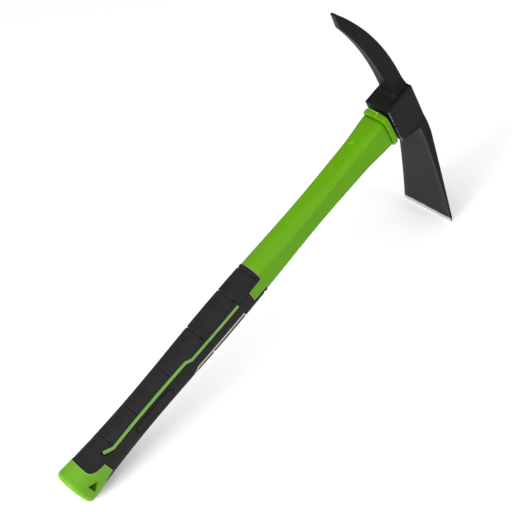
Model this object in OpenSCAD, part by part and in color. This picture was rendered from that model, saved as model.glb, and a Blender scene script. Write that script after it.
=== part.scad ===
// Short hand mattock: forged head with a curved pick and a flared hoe on a moulded handle.
// Lengths are in millimetres. The tool stands as it is set down on a bench: on the butt and
// on the hoe's cutting edge, with the pick in the air. Z is up, X runs from butt to head.

/* [Handle] */
// Length of the handle, butt end to the top of the collar
handle_l = 373.7; // [344:0.1:404]
// Width of the butt across the cheeks
butt_w = 27.4; // [25.5:0.1:30]
// Depth of the butt, pick side to hoe side
butt_d = 36; // [33.5:0.1:39]
// Rounding around the butt's end
butt_r = 4.3; // [2.5:0.1:5.5]
// How far the butt stands above the rubber
butt_proud = 0.3; // [0.1:0.05:0.5]
// Distance of the slimmest place from the butt end
waist_x = 83; // [70:1:95]
// Width of the slimmest place
waist_w = 22.4; // [20.5:0.1:23.5]
// Depth of the slimmest place
waist_d = 29; // [27:0.1:31]
// Distance of the palm swell from the butt end
palm_x = 173; // [155:1:190]
// Width of the palm swell
palm_w = 24.8; // [22.5:0.1:25.5]
// Depth of the palm swell
palm_d = 31.4; // [29:0.1:33]
// Distance from the butt end at which the shaft has its full size
shaft_x = 300; // [280:1:330]
// Width of the bare shaft
shaft_w = 20.7; // [19.8:0.1:21.8]
// Depth of the bare shaft
shaft_d = 27.8; // [26.8:0.1:29.2]
// Length of the swell under the collar
neck_l = 34; // [24:0.1:44]
// How far the shaft swells out under the collar, on each side
neck_out = 1.4; // [0.8:0.1:2]
// Squareness of the shaft's section next to the collar: 2 is an ellipse
shaft_square = 5.4; // [4:0.1:6]
// Squareness of the grip's section
grip_square = 2.6; // [2.2:0.1:3]

/* [Collar] */
// Width of the collar across the cheeks
collar_w = 24.6; // [24:0.1:26]
// Depth of the collar
collar_d = 34.8; // [34:0.1:37]
// Thickness of the collar
collar_t = 4.6; // [3.6:0.1:6]
// Rounding on the collar's rims
collar_r = 0.6; // [0.4:0.1:1.2]
// Squareness of the collar's outline
collar_square = 6; // [5:0.1:7]

/* [Grip] */
// Lower edge of the rubber on the pick side, from the butt end
grip_low = 16.7; // [15:0.1:18]
// Upper edge of the rubber, from the butt end
grip_high = 211.7; // [206:0.1:217]
// Thickness of the rubber
grip_t = 2.2; // [1.8:0.1:2.8]
// How far the rubber stands above the bare shaft
grip_proud = 0.45; // [0.2:0.05:0.7]
// Width of the bare tongues that run into the rubber on the cheeks
tongue_w = 12.4; // [11:0.1:14]
// Length of the tongue at the upper edge
tongue_high_l = 14.3; // [11:0.1:17]
// Length of the tongue at the lower edge
tongue_low_l = 13.1; // [11:0.1:15]
// Sweep of the lower edge into its tongue
tongue_sweep = 8; // [6:0.1:9]
// Width of a cross groove
groove_w = 1.5; // [1.2:0.1:2]
// Depth of a cross groove
groove_t = 1.1; // [0.5:0.1:1.2]
// Distance from the tool's middle plane at which a groove stops on the cheek
groove_stop = 11.2; // [10.8:0.1:12]
// Lowest groove, from the butt end
groove_low = 44.4; // [41:0.1:48]
// Second groove, from the butt end
groove_x = 72.9; // [69:0.1:76]
// Distance between the further grooves
groove_pitch = 37.2; // [36:0.1:38]
// Distance of the uppermost groove from the grip's upper end
groove_rim = 3.4; // [2.6:0.1:4]
// Width of the long pad on each cheek, which a groove runs round
pad_w = 9.6; // [8:0.1:11]
// Lower end of the pad, from the butt end
pad_low = 62.6; // [58:0.1:66]
// Upper end of the pad, from the butt end
pad_high = 104.6; // [100:0.1:107]
// Width of the groove round the pad
pad_line = 0.9; // [0.7:0.05:1.2]

/* [Stripes] */
// Width of a stripe rib that shows through the rubber
stripe_w = 2.9; // [2.4:0.1:3.3]
// How far the rib's top lies under the rubber's surface
stripe_sunk = 0.1; // [0.05:0.05:0.3]
// Upper end of the stripe, from the butt end
stripe_high = 184.4; // [179:0.1:186]
// Upper end of the sidestep
stripe_jog_high = 130.4; // [128:0.1:134]
// Lower end of the sidestep
stripe_jog_low = 124.8; // [120:0.1:125.4]
// Bend near the lower end
stripe_bend = 43.2; // [40:0.1:46]
// Lower end of the stripe
stripe_low = 35.4; // [32:0.1:37]
// Distance of the upper run from the tool's middle plane
stripe_in = 6.1; // [5.6:0.1:6.6]
// Distance of the lower run from the tool's middle plane
stripe_out = 8.6; // [8.2:0.1:9.2]
// Distance of the lower end from the tool's middle plane
stripe_end = 12; // [11.4:0.1:12.6]
// Distance from the tool's middle plane at which a stripe on the hoe side runs out
stripe_far = 10.6; // [10:0.1:11]

/* [Hanging hole] */
// Base of the triangular hole
hole_base = 10.8; // [10:0.1:11.6]
// Height of the triangular hole
hole_h = 8.8; // [8.4:0.1:9.4]
// Distance of the hole's base from the butt end
hole_x = 9.3; // [8.1:0.1:9.8]

/* [Eye] */
// Gap between collar and eye
eye_gap = 2.1; // [1:0.1:3]
// Height of the eye along the handle
eye_l = 29.6; // [27:0.1:33]
// Width of the eye across the cheeks
eye_w = 25.8; // [24.8:0.1:26.8]
// Depth of the eye, pick face to hoe face
eye_d = 38.6; // [37:0.1:40]
// How far the eye's middle lies toward the pick from the handle's axis
eye_off = 2.2; // [1.2:0.1:2.6]
// Rounding of the eye's upright edges
eye_r = 1.6; // [1:0.1:2.4]
// Chamfer on the eye's rims
eye_chamfer = 0.9; // [0.4:0.1:1.2]
// Width of the hole for the handle
bore_w = 14.6; // [14:0.1:15]
// Depth of the hole for the handle
bore_d = 26; // [25:0.1:27]

/* [Pick] */
// Reach of the pick from the handle's axis
pick_reach = 129; // [118:0.1:142]
// How far the tip drops toward the butt
pick_drop = 27.1; // [25:0.1:31]
// How far the under side drops from the eye to the tip's bevel
pick_under = 14.6; // [13:0.1:15.6]
// Height of the pick at the eye
pick_h = 15.2; // [14:0.1:17]
// Width of the pick at the eye
pick_w = 13; // [12:0.1:15]
// Width of the pick at its tip
pick_tip_w = 4.4; // [3.6:0.1:6]
// Thickness of the tip
pick_tip_t = 2; // [1.4:0.1:2.6]
// Rounding of the pick's long edges
pick_r = 1; // [0.6:0.1:1.3]
// Extra width where the pick grows out of the eye, on each side
pick_fillet = 2.6; // [1.5:0.1:3.4]
// Place along the pick at which the extra width has run out
pick_fillet_share = 0.1; // [0.06:0.01:0.16]
// Bend of the pick: at 2 it is even, above 2 it is stronger toward the tip
pick_bow = 2.3; // [2:0.05:2.5]
// Place along the pick at which the under side turns into the tip's bevel
pick_bevel_share = 0.87; // [0.8:0.01:0.9]

/* [Hoe] */
// Reach of the cutting edge from the handle's axis
hoe_reach = 132.4; // [122:0.1:140]
// How far the cutting edge drops toward the butt
hoe_drop = 26.6; // [22:0.1:32]
// Width of the cutting edge
hoe_w = 55.4; // [50:0.1:62]
// Thickness of the hoe at the eye
hoe_t = 9.8; // [8.6:0.1:11]
// How far the eye's hoe face slants out from its lower rim to the hoe's under side
hoe_web = 6.5; // [5:0.1:9]
// Thickness of the hoe above its ground bevel
hoe_tip_t = 2.1; // [1.8:0.1:2.6]
// Thickness left at the cutting edge
hoe_edge_t = 0.7; // [0.5:0.1:1]
// Length of the ground bevels
hoe_bevel = 4; // [3:0.1:5]
// Share of the grinding that is taken off the hoe's back
hoe_back_share = 0.8; // [0.5:0.05:0.9]
// Rounding of the hoe's long edges
hoe_r = 0.3; // [0.2:0.05:0.34]
// Thinning of the hoe: at 1 it is even, above 1 it is quicker at the eye
hoe_thinning = 1.6; // [1:0.05:2]
// Widening of the hoe: at 1 its sides are straight, below 1 they bow outward
hoe_widening = 0.95; // [0.8:0.01:1]
// Place along the hoe at which its bend ends
hoe_bend_share = 0.2; // [0.15:0.01:0.3]

/* [Inside] */
// Diameter of the glass-fibre rod inside the handle
rod_d = 9.6; // [8:0.1:10]
// Start of the rod, from the butt end
rod_low = 24; // [20:0.1:30]
// Distance of the rod's upper end below the eye's top
rod_short = 3.2; // [2.6:0.1:4]
// Resin around the tenon in the eye
resin_t = 0.9; // [0.6:0.1:1.1]
// Resin over the tenon's end
resin_cap = 1.6; // [1.2:0.1:2.2]
// How far the resin stays below the eye's top
resin_low = 0.6; // [0.3:0.1:1]
// Play between neighbouring pieces, which touch on the real tool
play = 0.05; // [0.02:0.01:0.1]

/* [Hidden] */

// Overrun of a cut past the faces it goes through
over = 2;
// Corners of a handle section
ring_n = 32;
// Corners on each rounded edge of a head section
edge_n = 3;
// Steps of the rounding at the butt
round_n = 4;
// Steps along the rubber's skin, along the core under it and along a stripe rib
skin_n = 24;
core_n = 14;
rib_n = 10;
// Steps from the butt to the waist and from there to the neck
flare_n = 5;
shaft_n = 14;
// Corners of a round hole, and of the pad's round ends
round_fn = 48;
pad_fn = 32;
// Number of evenly spaced cross grooves above the lowest one, less one
groove_n = 3;
// Places of the sections along the neck, the pick and the hoe
neck_shares = [0.25, 0.5, 0.75, 0.92];
pick_shares = [0, 0.02, 0.05, 0.1, 0.2, 0.3, 0.4, 0.5, 0.6, 0.7, 0.79, pick_bevel_share, 0.94, 1];
hoe_shares = [0.09, 0.15, 0.21, 0.28, 0.36, 0.46, 0.58, 0.7, 0.84];

// Heights along the handle
eye_low = handle_l + eye_gap;
eye_high = eye_low + eye_l;
rod_high = eye_high - rod_short;
tenon_high = eye_high - resin_low - resin_cap;
neck_x = handle_l - collar_t - neck_l;
tongue_low_x = grip_low + tongue_low_l;
tongue_high_x = grip_high - tongue_high_l;

// The pose: the tool turns about its cutting edge until the butt's rim is on the bench
back_cut = hoe_back_share * (hoe_tip_t - hoe_edge_t);
edge_x = eye_high - hoe_drop - back_cut - hoe_edge_t;
rim_x = butt_r;
rim_z = butt_d / 2 - butt_r;
rim_far = norm([edge_x - rim_x, hoe_reach - rim_z]);
lean = atan2(hoe_reach - rim_z, edge_x - rim_x) - asin(butt_r / rim_far);
lift = hoe_reach * cos(lean) - edge_x * sin(lean);
rear_x = rim_x * cos(lean) - rim_z * sin(lean) - butt_r;
front_x = edge_x * cos(lean) + hoe_reach * sin(lean);
middle_x = (rear_x + front_x) / 2;

module set_down() {
    translate([-middle_x, 0, lift]) rotate([0, -lean, 0]) children();
}

// Smooth change from one value to another between two places
function part_way(x, from, to) = min(1, max(0, (x - from) / (to - from)));
function ease(t) = t * t * (3 - 2 * t);
function blend(x, from, to, low, high) = low + (high - low) * ease(part_way(x, from, to));

// The skin of the grip and, carried on, of the shaft: half width, half depth and squareness
function flare(x) = pow(1 - part_way(x, butt_r, waist_x), 2);
function skin_half(x, butt, waist, palm, shaft) =
    x < waist_x ? (waist + (butt - waist) * flare(x)) / 2
    : x < palm_x ? blend(x, waist_x, palm_x, waist, palm) / 2
    : blend(x, palm_x, shaft_x, palm, shaft + 2 * grip_proud) / 2;
function skin_w(x) = skin_half(x, butt_w - 2 * butt_proud, waist_w, palm_w, shaft_w);
function skin_d(x) = skin_half(x, butt_d - 2 * butt_proud, waist_d, palm_d, shaft_d);
function skin_square(x) =
    grip_square + (shaft_square - grip_square) * pow(part_way(x, grip_high, handle_l - collar_t), 3);

// A handle section at x: a squared ellipse
function bow(v, square) = sign(v) * pow(abs(v), 2 / square);
function section(x, half_w, half_d, square) = [
    for (i = [0:ring_n - 1])
        let (turn = 360 * i / ring_n)
        [x, half_w * bow(sin(turn), square), half_d * bow(cos(turn), square)]
];
function skin_ring(x, inset) =
    section(x, skin_w(x) - inset, skin_d(x) - inset, skin_square(x));

// A head section at depth z: a rectangle from x0 to x1 with rounded edges
function slab_ring(x0, x1, half_w, r, z) = [
    for (q = [0:3], i = [0:edge_n - 1])
        let (turn = 90 * (q + i / (edge_n - 1)))
        let (sx = q < 2 ? x1 - r : x0 + r)
        let (sy = q == 0 || q == 3 ? half_w - r : r - half_w)
        [sx + r * sin(turn), sy + r * cos(turn), z]
];

// An eye section at x: a rectangle with rounded upright edges
function eye_ring(x, inset) = [
    for (q = [0:3], i = [0:edge_n - 1])
        let (turn = 90 * (q + i / (edge_n - 1)))
        let (sy = (q < 2 ? 1 : -1) * (eye_w / 2 - eye_r))
        let (sz = eye_off + (q == 0 || q == 3 ? 1 : -1) * (eye_d / 2 - eye_r))
        [x, sy + (eye_r - inset) * sin(turn), sz + (eye_r - inset) * cos(turn)]
];

// A solid through rings with the same number of corners
module loft(rings) {
    n = len(rings[0]);
    last = len(rings) - 1;
    points = [for (ring = rings) each ring];
    sides = [
        for (k = [0:last - 1], i = [0:n - 1])
            let (j = (i + 1) % n)
            each [
                [k * n + i, k * n + j, (k + 1) * n + i],
                [k * n + j, (k + 1) * n + j, (k + 1) * n + i]
            ]
    ];
    ends = [
        [for (i = [n - 1:-1:0]) i],
        [for (i = [0:n - 1]) last * n + i]
    ];
    polyhedron(points, concat(sides, ends));
}

// Stations from one place to another in equal steps
function steps(from, to, n) = [for (i = [0:n]) from + (to - from) * i / n];

// The grip's skin, sunk by an inset, between two places
module skin_body(from, to, inset, n) {
    loft([for (x = steps(from, to, n)) skin_ring(x, inset)]);
}

// An upright slot through the tool, seen from the cheek: an oval of the handle's bore
module oval(half_w, depth, from, to) {
    reach = depth / 2 - half_w;
    translate([from, 0, 0]) rotate([0, 90, 0]) {
        for (side = [-1, 1])
            translate([side * reach, 0, 0]) cylinder(r = half_w, h = to - from, $fn = round_fn);
        translate([-reach, -half_w, 0]) cube([2 * reach, 2 * half_w, to - from]);
    }
}

// A flat figure drawn on the cheek, cut or raised through the whole width of the tool
module through_cheeks() {
    rotate([90, 0, 0]) linear_extrude(2 * butt_w, center = true) children();
}

// The rubber's outline on the cheek, grown by g
module grip_outline(g) {
    far = butt_d;
    half = tongue_w / 2 - g;
    low = grip_low - g;
    high = grip_high + g;
    function sweep(side) = [
        for (i = [round_n:-1:0])
            let (turn = 90 * i / round_n)
            [
                low + tongue_low_l * (1 - sin(turn)),
                side * (half + tongue_sweep * (1 - cos(turn)))
            ]
    ];
    function edge(side) = concat(
        [[tongue_high_x + g, side * half], [high, side * half]],
        [[high, side * far], [low, side * far]],
        sweep(side)
    );
    pick_side = edge(1);
    hoe_side = edge(-1);
    polygon(concat(pick_side, [for (i = [len(hoe_side) - 1:-1:0]) hoe_side[i]]));
}

// The stripes' outlines on the cheek, grown by g: the long one on the pick side and the short
// one on the hoe side, which runs out over the edge where the long one has its sidestep
module stripes(g) {
    half = stripe_w / 2 + g;
    stop = stripe_jog_low - g;
    long = [
        [stripe_high + g, stripe_in - half],
        [stripe_high + g, stripe_in + half],
        [stripe_jog_high, stripe_in + half],
        [stripe_jog_low + half, stripe_out + half],
        [stripe_bend, stripe_out + half],
        [stripe_low + half, stripe_end + half],
        [stripe_low - half, stripe_end - half],
        [stripe_bend - half, stripe_out - half],
        [stripe_jog_low, stripe_out - half],
        [stripe_jog_high - half, stripe_in - half]
    ];
    short = [
        [stripe_high + g, half - stripe_in],
        [stripe_high + g, -half - stripe_in],
        [stripe_jog_high, -half - stripe_in],
        [stop + half, -half - stripe_far],
        [stop - half, half - stripe_far],
        [stripe_jog_high - half, half - stripe_in]
    ];
    through_cheeks() {
        polygon(long);
        polygon(short);
    }
}

// The pad's outline on the cheek, drawn in by g
module pad_outline(g) {
    wide = pad_w - 2 * g;
    for (x = [pad_low + pad_w / 2, pad_high - pad_w / 2])
        translate([x, 0]) circle(d = wide, $fn = pad_fn);
    translate([pad_low + pad_w / 2, -wide / 2]) square([pad_high - pad_low - pad_w, wide]);
}

// Cross grooves on the pick side and the hoe side, and the groove round each cheek's pad
module grip_marks() {
    even = steps(groove_x, groove_x + groove_n * groove_pitch, groove_n);
    places = concat([groove_low], even, [grip_high - groove_rim]);
    difference() {
        union() {
            for (x = places, side = [-1, 1])
                translate([x - groove_w / 2, -butt_w, side > 0 ? groove_stop : -butt_d])
                    cube([groove_w, 2 * butt_w, butt_d - groove_stop]);
            through_cheeks() difference() {
                pad_outline(0);
                pad_outline(pad_line);
            }
        }
        skin_body(grip_low - over, grip_high + over, groove_t, skin_n);
    }
}

// Forged steel head: pick, eye with an oval hole, hoe
module head() {
    color([0.15, 0.15, 0.15]) set_down() difference() {
        union() {
            eye_block();
            pick();
            hoe();
        }
        oval(bore_w / 2, bore_d, eye_low - over, eye_high + over);
    }
}

module eye_block() {
    loft([
        eye_ring(eye_low, eye_chamfer),
        eye_ring(eye_low + eye_chamfer, 0),
        eye_ring(eye_high - eye_chamfer, 0),
        eye_ring(eye_high, eye_chamfer)
    ]);
}

// The pick from inside the eye's wall to the tip: its back and its under side are arcs
module pick() {
    root = eye_d / 2 + eye_off;
    run = pick_reach - root;
    wall = root - bore_d / 2;
    tip = eye_high - pick_drop - pick_tip_t;
    heel = eye_high - pick_h - pick_under;
    function back(t) = eye_high - eye_chamfer / 2 - pick_drop * pow(t, pick_bow);
    function under(t) =
        t < pick_bevel_share
            ? eye_high - pick_h - pick_under * pow(t / pick_bevel_share, pick_bow)
            : heel + (tip - heel) * part_way(t, pick_bevel_share, 1);
    function half(t) =
        (pick_w + (pick_tip_w - pick_w) * t) / 2
        + pick_fillet * pow(1 - part_way(t, 0, pick_fillet_share), 2);
    loft(concat(
        [slab_ring(under(0), back(0), half(0), pick_r, root - wall / 2)],
        [
            for (t = pick_shares)
                slab_ring(under(t), max(back(t), under(t) + pick_tip_t), half(t),
                    min(pick_r, pick_tip_t / 3), root + run * t)
        ]
    ));
}

// The hoe from inside the eye's wall to the cutting edge, ground on both sides
module hoe() {
    root = eye_d / 2 - eye_off;
    run = hoe_reach - root;
    wall = root - bore_d / 2;
    slope = hoe_drop / (1 - hoe_bend_share / 2);
    bevel_share = 1 - hoe_bevel / run;
    web_share = hoe_web / run;
    web_low = eye_low + eye_chamfer;
    web_high = eye_high - hoe_t;
    function drop(t) =
        t < hoe_bend_share ? slope * t * t / (2 * hoe_bend_share)
        : slope * (t - hoe_bend_share / 2);
    function thick(t) =
        t <= bevel_share
            ? hoe_tip_t + (hoe_t - hoe_tip_t) * pow(1 - t / bevel_share, hoe_thinning)
            : hoe_tip_t + (hoe_edge_t - hoe_tip_t) * part_way(t, bevel_share, 1);
    function half(t) = (eye_w + (hoe_w - eye_w) * pow(t, hoe_widening)) / 2;
    function back(t) = eye_high - drop(t) - back_cut * part_way(t, bevel_share, 1);
    function under(t) = min(back(t) - thick(t), web_low + (web_high - web_low) * t / web_share);
    function cut(t, z) = slab_ring(under(t), back(t), half(t), hoe_r, z);
    stations = concat([0, web_share / 2, web_share], hoe_shares, [bevel_share, 1]);
    mirror([0, 0, 1]) loft(concat(
        [cut(0, root - wall / 2)],
        [for (t = stations) cut(t, root + run * t)]
    ));
}

// Moulded green jacket: butt, core under the rubber with its stripe ribs, shaft, collar, tenon
module handle_jacket() {
    color([0.36, 0.65, 0.08]) set_down() difference() {
        union() {
            difference() {
                jacket_body();
                through_cheeks() grip_outline(play);
            }
            skin_body(grip_low - over, grip_high + over, grip_t, core_n);
            intersection() {
                skin_body(stripe_low - over, stripe_high + over, stripe_sunk, rib_n);
                stripes(0);
            }
            oval(bore_w / 2 - resin_t, bore_d - 2 * resin_t, handle_l - collar_t, tenon_high);
        }
        translate([rod_low - play, 0, 0]) rotate([0, 90, 0])
            cylinder(d = rod_d + 2 * play, h = rod_high + over - rod_low, $fn = round_fn);
        hanging_hole();
    }
}

// The whole outer form of the jacket, butt end to collar top
module jacket_body() {
    butt = [
        for (i = [0:round_n])
            let (turn = 90 * i / round_n)
            skin_ring(butt_r * (1 - cos(turn)), butt_r * (1 - sin(turn)) - butt_proud)
    ];
    body = [for (x = steps(grip_low - over, waist_x, flare_n)) skin_ring(x, -butt_proud)];
    shaft = [for (x = steps(waist_x + over, neck_x, shaft_n)) skin_ring(x, grip_proud)];
    collar_low = handle_l - collar_t;
    neck = [
        for (t = neck_shares)
            skin_ring(neck_x + neck_l * t, grip_proud - neck_out * ease(t)),
        skin_ring(collar_low - collar_r / 2, grip_proud)
    ];
    function collar_ring(x, inset) =
        section(x, collar_w / 2 - inset, collar_d / 2 - inset, collar_square);
    collar = [
        collar_ring(collar_low, collar_r),
        collar_ring(collar_low + collar_r / 3, collar_r / 3),
        collar_ring(collar_low + collar_r, 0),
        collar_ring(handle_l - collar_r, 0),
        collar_ring(handle_l - collar_r / 3, collar_r / 3),
        collar_ring(handle_l, collar_r)
    ];
    loft(concat(butt, body, shaft, neck, collar));
}

// Triangular hole through the butt, its point toward the head
module hanging_hole() {
    through_cheeks() polygon([
        [hole_x, -hole_base / 2],
        [hole_x + hole_h, 0],
        [hole_x, hole_base / 2]
    ]);
}

// Drawn glass-fibre rod inside the jacket
module core_rod() {
    color([0.85, 0.82, 0.7]) set_down() translate([rod_low, 0, 0]) rotate([0, 90, 0])
        cylinder(d = rod_d, h = rod_high - rod_low, $fn = round_fn);
}

// Soft rubber moulded over the jacket, open where the stripes show
module grip() {
    color([0.16, 0.16, 0.16]) set_down() difference() {
        intersection() {
            skin_body(grip_low - over, grip_high + over, 0, skin_n);
            through_cheeks() grip_outline(0);
        }
        skin_body(grip_low - over, grip_high + over, grip_t - play, core_n);
        stripes(play);
        grip_marks();
    }
}

// Cast resin that holds the tenon in the eye
module eye_resin() {
    color([0.75, 0.7, 0.5]) set_down() difference() {
        oval(bore_w / 2 - play, bore_d - 2 * play, eye_low, eye_high - resin_low);
        oval(bore_w / 2 - resin_t + play, bore_d - 2 * (resin_t - play),
            eye_low - over, tenon_high + play);
        translate([eye_low, 0, 0]) rotate([0, 90, 0])
            cylinder(d = rod_d + 2 * play, h = rod_high + play - eye_low, $fn = round_fn);
    }
}

head();
handle_jacket();
core_rod();
grip();
eye_resin();
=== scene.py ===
import math

import bpy
import numpy as np
from mathutils import Matrix, Vector


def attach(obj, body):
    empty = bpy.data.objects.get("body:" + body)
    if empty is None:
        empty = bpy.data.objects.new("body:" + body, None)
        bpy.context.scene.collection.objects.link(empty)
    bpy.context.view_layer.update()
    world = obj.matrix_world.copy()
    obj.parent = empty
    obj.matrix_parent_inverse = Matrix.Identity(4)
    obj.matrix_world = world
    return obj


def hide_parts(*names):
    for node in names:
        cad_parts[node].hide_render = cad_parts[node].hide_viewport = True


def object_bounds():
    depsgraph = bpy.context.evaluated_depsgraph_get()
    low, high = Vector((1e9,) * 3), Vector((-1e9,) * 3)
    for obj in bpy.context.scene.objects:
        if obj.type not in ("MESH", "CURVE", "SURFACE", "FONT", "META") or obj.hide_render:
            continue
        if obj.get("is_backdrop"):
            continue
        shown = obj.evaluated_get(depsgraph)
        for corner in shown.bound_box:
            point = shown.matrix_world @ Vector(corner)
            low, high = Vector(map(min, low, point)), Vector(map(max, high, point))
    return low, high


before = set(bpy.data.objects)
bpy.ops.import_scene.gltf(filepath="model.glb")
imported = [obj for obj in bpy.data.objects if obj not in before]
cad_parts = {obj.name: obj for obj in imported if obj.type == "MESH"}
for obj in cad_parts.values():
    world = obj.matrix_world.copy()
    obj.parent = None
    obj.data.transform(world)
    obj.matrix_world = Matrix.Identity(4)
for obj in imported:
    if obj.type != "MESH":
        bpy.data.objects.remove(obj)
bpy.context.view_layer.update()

# Core rod: a drawn rod of glass fibre and polyester inside the handle, which takes the bending.
# It is sealed in the jacket, so the solid stays as it is and only gets its finish.


def linear(hex_colour):
    channels = [int(hex_colour[i:i + 2], 16) / 255 for i in (1, 3, 5)]
    low = [c / 12.92 if c <= 0.04045 else ((c + 0.055) / 1.055) ** 2.4 for c in channels]
    return (*low, 1.0)


def add(tree, kind, inputs=None, **settings):
    node = tree.nodes.new(kind)
    for name, value in settings.items():
        setattr(node, name, value)
    for name, value in (inputs or {}).items():
        if isinstance(value, bpy.types.NodeSocket):
            tree.links.new(value, node.inputs[name])
        else:
            node.inputs[name].default_value = value
    return node


def new_finish(name):
    finish = bpy.data.materials.new(name)
    finish.use_nodes = True
    finish.node_tree.nodes.clear()
    return finish, finish.node_tree


def per_metre(size_mm):
    return 1000.0 / size_mm


# Tilt of the handle on the bench, and the rod's diameter and ends along the handle, in mm
LEAN = math.radians(17.0370)
ROD_D, ROD_LOW, ROD_HIGH = 9.6, 24.0, 402.2

# Pultruded glass fibre: long pale strands in a yellowish resin, dull. They are stretched along the
# bench's x.
STRAND_STRETCH = 50
glass_fibre, tree = new_finish("pultruded_glass_fibre")
place = add(tree, "ShaderNodeTexCoord").outputs["Object"]
drawn_out = add(tree, "ShaderNodeMapping", {
    "Vector": place, "Rotation": (0, LEAN, 0), "Scale": (1 / STRAND_STRETCH, 1, 1)}).outputs["Vector"]
strands = add(tree, "ShaderNodeTexNoise", {"Vector": drawn_out, "Scale": per_metre(0.6),
                                           "Detail": 2}).outputs["Fac"]
strand_colour = add(tree, "ShaderNodeValToRGB", {"Fac": strands})
strand_colour.color_ramp.elements[0].color = linear("#C9BC93")
strand_colour.color_ramp.elements[1].color = linear("#E4DCC0")
rod_shine = add(tree, "ShaderNodeBsdfPrincipled", {
    "Base Color": strand_colour.outputs["Color"], "Roughness": 0.6, "IOR": 1.55})
add(tree, "ShaderNodeOutputMaterial", {"Surface": rod_shine.outputs["BSDF"]})
rod_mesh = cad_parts["core_rod"].data
rod_mesh.materials.clear()
rod_mesh.materials.append(glass_fibre)

# Handle jacket: green polypropylene moulded round the rod in one shot, from the butt with its
# hanging hole up to the collar and the tenon in the eye. The rubber sits in a sunk bed on it.

# Place of the tool on the bench: lift and shift from the handle's axes to the shared frame, in mm
LIFT, SHIFT = 16.1389, 197.5128

# Sizes in mm: X along the handle from the butt, W across the cheeks, D from hoe side to pick side.
# SQUARE is the section's exponent: 2 is an oval, and more is squarer.
BUTT_W, BUTT_D, BUTT_R, BUTT_PROUD = 27.4, 36.0, 4.3, 0.3
WAIST_X, WAIST_W, WAIST_D = 83.0, 22.4, 29.0
PALM_X, PALM_W, PALM_D = 173.0, 24.8, 31.4
SHAFT_X, SHAFT_W, SHAFT_D = 300.0, 20.7, 27.8
HANDLE_L, NECK_L, NECK_OUT, NECK_SHARE = 373.7, 34.0, 1.4, 0.93
GRIP_SQUARE, SHAFT_SQUARE, COLLAR_SQUARE = 2.6, 5.4, 6.0
COLLAR_W, COLLAR_D, COLLAR_T, COLLAR_R = 24.6, 34.8, 4.6, 0.6
GRIP_LOW, GRIP_HIGH, GRIP_T, GRIP_PROUD = 16.7, 211.7, 2.2, 0.45
TONGUE_W, TONGUE_HIGH_L, TONGUE_LOW_L, TONGUE_SWEEP = 12.4, 14.3, 13.1, 8.0
TONGUE_ROUND, EDGE_R, EDGE_STEP = 1.2, 0.25, 0.075
HOLE_BASE, HOLE_H, HOLE_X, HOLE_ROUND, HOLE_EASE = 10.8, 8.8, 9.3, 0.4, 0.4
HOLE_FLAT, HOLE_MOUTH, HOLE_INNER = 13.2, 3.0, 3.0
TENON_W, TENON_D, TENON_X, TENON_SQUARE, TENON_FOOT, TENON_EASE = 12.8, 24.2, 403.2, 2.2, 0.2, 0.5
FACET_RUN, FACET_SQUARE, FACET_CUT, FACET_IN, FACET_FADE = 70.0, 1.4, 0.02, 0.2, 0.7
NECK_X = HANDLE_L - COLLAR_T - NECK_L
COLLAR_X = HANDLE_L - COLLAR_T
# Groove below the collar: each ring's distance from the collar and its depth below the skin
COLLAR_GROOVE = ((1.6, -0.7), (0.9, 0.1), (0.45, GRIP_PROUD))
PLAY = 0.05


def part_way(x, low, high):
    return np.clip((np.asarray(x, float) - low) / (high - low), 0, 1)


def ease(t):
    return t * t * (3 - 2 * t)


def skin_half(x, butt, waist, palm, shaft):
    flare = waist + (butt - waist) * (1 - part_way(x, BUTT_R, WAIST_X)) ** 2
    swell = waist + (palm - waist) * ease(part_way(x, WAIST_X, PALM_X))
    slim = palm + (shaft + 2 * GRIP_PROUD - palm) * ease(part_way(x, PALM_X, SHAFT_X))
    return np.where(x < WAIST_X, flare, np.where(x < PALM_X, swell, slim)) / 2


def skin(x):
    half_w = skin_half(x, BUTT_W - 2 * BUTT_PROUD, WAIST_W, PALM_W, SHAFT_W)
    half_d = skin_half(x, BUTT_D - 2 * BUTT_PROUD, WAIST_D, PALM_D, SHAFT_D)
    square = GRIP_SQUARE + (SHAFT_SQUARE - GRIP_SQUARE) * part_way(x, GRIP_HIGH, COLLAR_X) ** 3
    return half_w, half_d, square


def squared(value, square):
    return np.sign(value) * np.abs(value) ** (2 / square)


# A ring of points round the handle, one for each direction in TURNS. x may differ from point to
# point, so that a ring can follow the rubber's edge.
def handle_ring(x, half_w, half_d, square):
    x = np.broadcast_to(np.asarray(x, float), TURNS.shape)
    y = half_w * squared(np.sin(TURNS), square)
    z = half_d * squared(np.cos(TURNS), square)
    return np.stack([x, y, z], 1)


# The bare shaft's corners are flattened into long facets, which fade out toward the rubber and get
# narrower toward the collar
def shaft_ring(x, inset):
    x = np.broadcast_to(np.asarray(x, float), TURNS.shape)
    half_w, half_d, square = skin(x)
    rise = ease(part_way(x, GRIP_HIGH, GRIP_HIGH + FACET_RUN))
    half_w, half_d = half_w - inset - FACET_IN * rise, half_d - inset - FACET_IN * rise
    facet = rise * (1 - FACET_FADE * part_way(x, SHAFT_X, COLLAR_X))
    ring = handle_ring(x, half_w, half_d, square + FACET_SQUARE * facet)
    corner = 2 ** (1 - 1 / square) - FACET_CUT * facet
    reach = np.abs(ring[:, 1]) / half_w + np.abs(ring[:, 2]) / half_d
    ring[:, 1:] *= np.minimum(1, corner / reach)[:, None]
    return ring


def skin_ring(x, inset):
    half_w, half_d, square = skin(np.broadcast_to(np.asarray(x, float), TURNS.shape))
    return handle_ring(x, half_w - inset, half_d - inset, square)


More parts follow.
